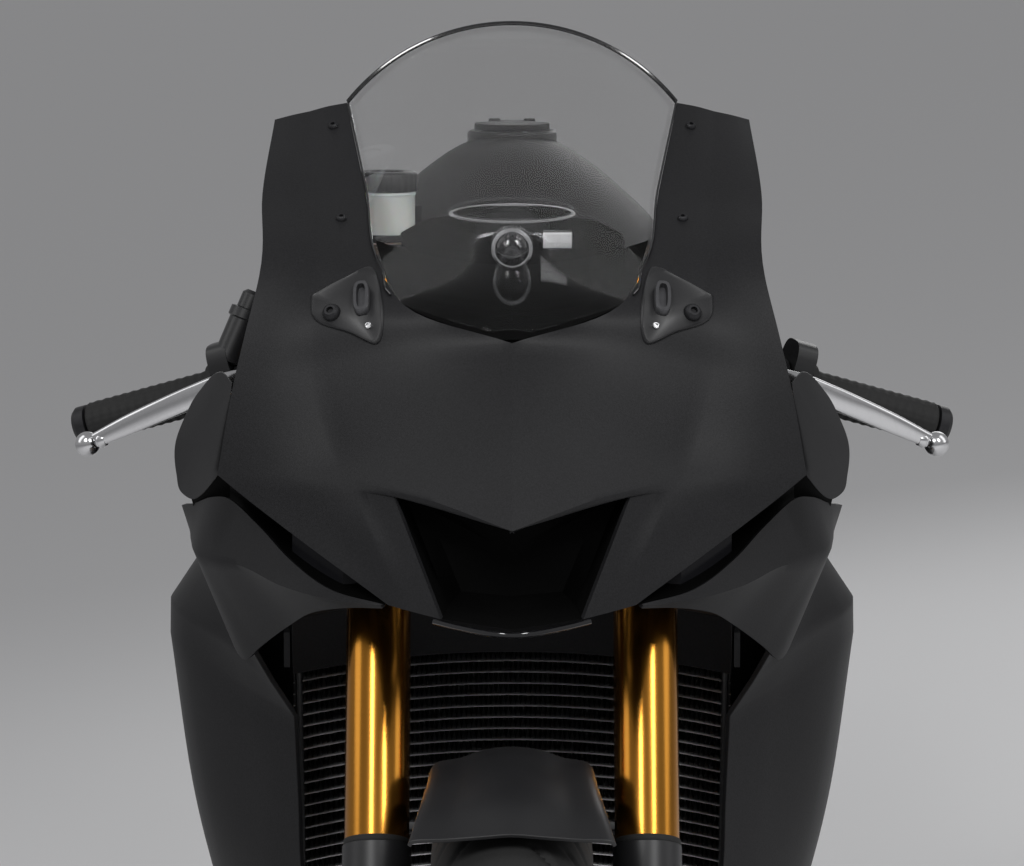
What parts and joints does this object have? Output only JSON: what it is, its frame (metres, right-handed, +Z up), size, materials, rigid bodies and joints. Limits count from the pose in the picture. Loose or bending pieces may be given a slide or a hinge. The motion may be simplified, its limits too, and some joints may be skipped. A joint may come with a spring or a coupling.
{
  "type": "sport bike",
  "caption": "Faired sport bike leaning on its side stand, with steering fork, spinning wheels, folding stand and hinged filler cap.",
  "frame": {"origin": "centre of the bounding box on the floor under the parked bike", "axes": "-Y is forward, +X is the rider's left and the side the bike leans to, +Z is up from the floor"},
  "size_m": [0.701, 2.0394, 1.1312],
  "materials": {
    "black_alloy": "black satin",
    "black_plastic": "matte",
    "disc": "ground",
    "duct": "gloss",
    "exhaust": "heat tinted",
    "gold": "gold anodised",
    "grip": "moulded",
    "lamp": "dark lens",
    "lever": "polished",
    "radiator": "bare fins",
    "reservoir": "translucent with a black lid",
    "rim": "black satin",
    "screen": "clear",
    "seat": "grained cover",
    "slider": "polished tube, black lug",
    "steel": "plain",
    "tail_lens": "red lens",
    "tank": "black",
    "tyre": "ribbed rubber"
  },
  "bodies": {
    "chassis": {"rear_caliper": "black_alloy", "frame": "black_alloy", "swingarm": "black_alloy", "rear_shock": "black_alloy", "drive_chain": "steel", "engine": "black_alloy", "drive_sprocket": "steel", "exhaust_headers": "exhaust", "muffler": "exhaust", "radiator": "radiator", "fairing_stay": "steel", "nose_cowl": "black_plastic", "intake_duct": "duct", "head_lamps": "lamp", "windscreen": "screen", "shoulders": "black_plastic", "fairing_arms": "black_plastic", "side_panels": "black_plastic", "belly_pan": "black_plastic", "fuel_tank": "tank", "rider_seat": "seat", "tail_cowl": "black_plastic", "tail_light": "tail_lens", "dash": "black_plastic", "foot_rests": "black_alloy"},
    "fork": {"fork_tubes": "gold", "fork_lowers": "slider", "lower_clamp": "black_alloy", "upper_clamp": "black_alloy", "clip_ons": "black_alloy", "grips": "grip", "clutch_control": "lever", "brake_control": "lever", "brake_reservoir": "reservoir", "front_mudguard": "black_plastic", "front_calipers": "black_alloy", "front_axle": "steel"},
    "front_wheel": {"front_tyre": "tyre", "front_rim": "rim", "front_discs": "disc"},
    "rear_wheel": {"rear_tyre": "tyre", "rear_rim": "rim", "rear_disc": "disc", "rear_sprocket": "steel"},
    "side_stand": {"side_stand": "steel"},
    "fuel_cap": {"fuel_cap": "tank"}
  },
  "joints": [
    {"name": "steering", "type": "hinge", "parent": "chassis", "child": "fork", "pos_m": [-0.09452, -0.68889, 0.28282], "axis": [0.1586, 0.4067, 0.8997], "range_deg": [-25, 25]},
    {"name": "front_wheel_spin", "type": "hinge", "parent": "fork", "child": "front_wheel", "pos_m": [-0.09213, -0.71975, 0.29635], "axis": [0.9848, 0, -0.1736], "continuous": true},
    {"name": "rear_wheel_spin", "type": "hinge", "parent": "chassis", "child": "rear_wheel", "pos_m": [-0.08943, 0.65525, 0.31166], "axis": [0.9848, 0, -0.1736], "continuous": true},
    {"name": "stand_fold", "type": "hinge", "parent": "chassis", "child": "side_stand", "pos_m": [0.05543, 0.09575, 0.26939], "axis": [0.9478, -0.1518, 0.2804], "range_deg": [0, 104.73]},
    {"name": "fuel_cap_lid", "type": "hinge", "parent": "chassis", "child": "fuel_cap", "pos_m": [0.03812, -0.10825, 1.03503], "axis": [-0.9848, 0, 0.1736], "range_deg": [0, 110]}
  ]
}
